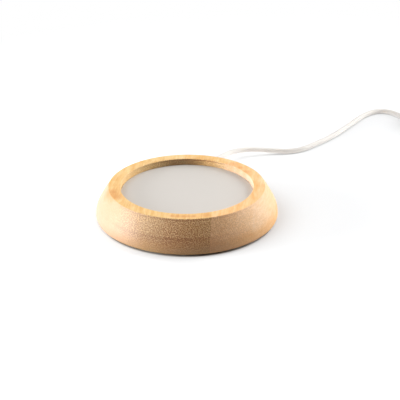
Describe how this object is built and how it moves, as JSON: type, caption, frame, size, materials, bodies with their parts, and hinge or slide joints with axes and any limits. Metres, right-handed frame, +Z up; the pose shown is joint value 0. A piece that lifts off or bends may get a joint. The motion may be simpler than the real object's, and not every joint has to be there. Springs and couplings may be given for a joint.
{
  "type": "electric mug warmer",
  "caption": "Round bamboo mug warmer with a sunken grey heating plate, rubber feet and a thin white cord that ends in a USB plug.",
  "frame": {"origin": "on the table, under the axis of the bamboo ring, level with the undersides of the rubber feet", "axes": "+Z up along the ring's axis; +Y to the side where the cord leaves the ring"},
  "size_m": [0.2321, 0.2875, 0.02],
  "materials": {
    "bamboo": "sanded, matt oil",
    "plate_coat": "matt warm-grey coat",
    "zinc_steel": "zinc plated",
    "red_silicone": "moulded",
    "polyimide": "film",
    "heater_alloy": "etched foil",
    "fibre_felt": "needled felt",
    "spring_steel": "oil blackened",
    "case_steel": "drawn",
    "phenolic": "moulded",
    "brass": "stamped",
    "silver_contact": "riveted",
    "bimetal": "rolled",
    "glass_sleeve": "braided sleeve",
    "black_shrink": "shrunk tube",
    "red_pvc": "extruded",
    "black_pvc": "extruded",
    "white_cord": "extruded, satin",
    "white_moulding": "moulded, satin",
    "black_abs": "moulded, fine grain",
    "foot_rubber": "moulded",
    "tie_film": "coated wire",
    "nickel": "nickel plated",
    "white_insulator": "moulded",
    "gold_contact": "gold flashed"
  },
  "bodies": {
    "warmer": {"bamboo_ring": "bamboo", "heating_plate": "plate_coat", "plate_studs": "zinc_steel", "plate_gasket": "red_silicone", "heater_film_upper": "polyimide", "heater_track": "heater_alloy", "heater_film_lower": "polyimide", "insulation_pad": "fibre_felt", "clamp_plate": "zinc_steel", "spring_washers": "spring_steel", "clamp_nuts": "zinc_steel", "thermostat_case": "case_steel", "thermostat_header": "phenolic", "fixed_terminal": "brass", "fixed_contact": "silver_contact", "arm_terminal": "brass", "thermostat_leads": "glass_sleeve", "heater_leads": "glass_sleeve", "splice_sleeves": "black_shrink", "conductor_red": "red_pvc", "conductor_black": "black_pvc", "cord_jacket_end": "white_cord", "cord_saddle": "black_abs", "saddle_screws": "zinc_steel", "strain_relief": "white_moulding", "base_cover": "black_abs", "base_screws": "zinc_steel", "rubber_foot_1": "foot_rubber", "rubber_foot_2": "foot_rubber", "rubber_foot_3": "foot_rubber", "rubber_foot_4": "foot_rubber", "usb_cord": "white_cord", "cord_coil": "white_cord", "cord_tie": "tie_film", "cord_tail": "white_cord", "plug_neck": "white_moulding", "plug_body": "white_moulding", "plug_shell": "nickel", "plug_tongue": "white_insulator", "plug_contacts": "gold_contact"},
    "bimetal_arm": {"bimetal_blade": "bimetal", "moving_contact": "silver_contact"}
  },
  "joints": [
    {"name": "bimetal_snap", "type": "hinge", "parent": "warmer", "child": "bimetal_arm", "pos_m": [0.005, 0, 0.01274], "axis": [0, 1, 0], "range_deg": [0, 4], "stiffness_Nm_per_rad": 0.0001, "springref_deg": -5.73}
  ]
}
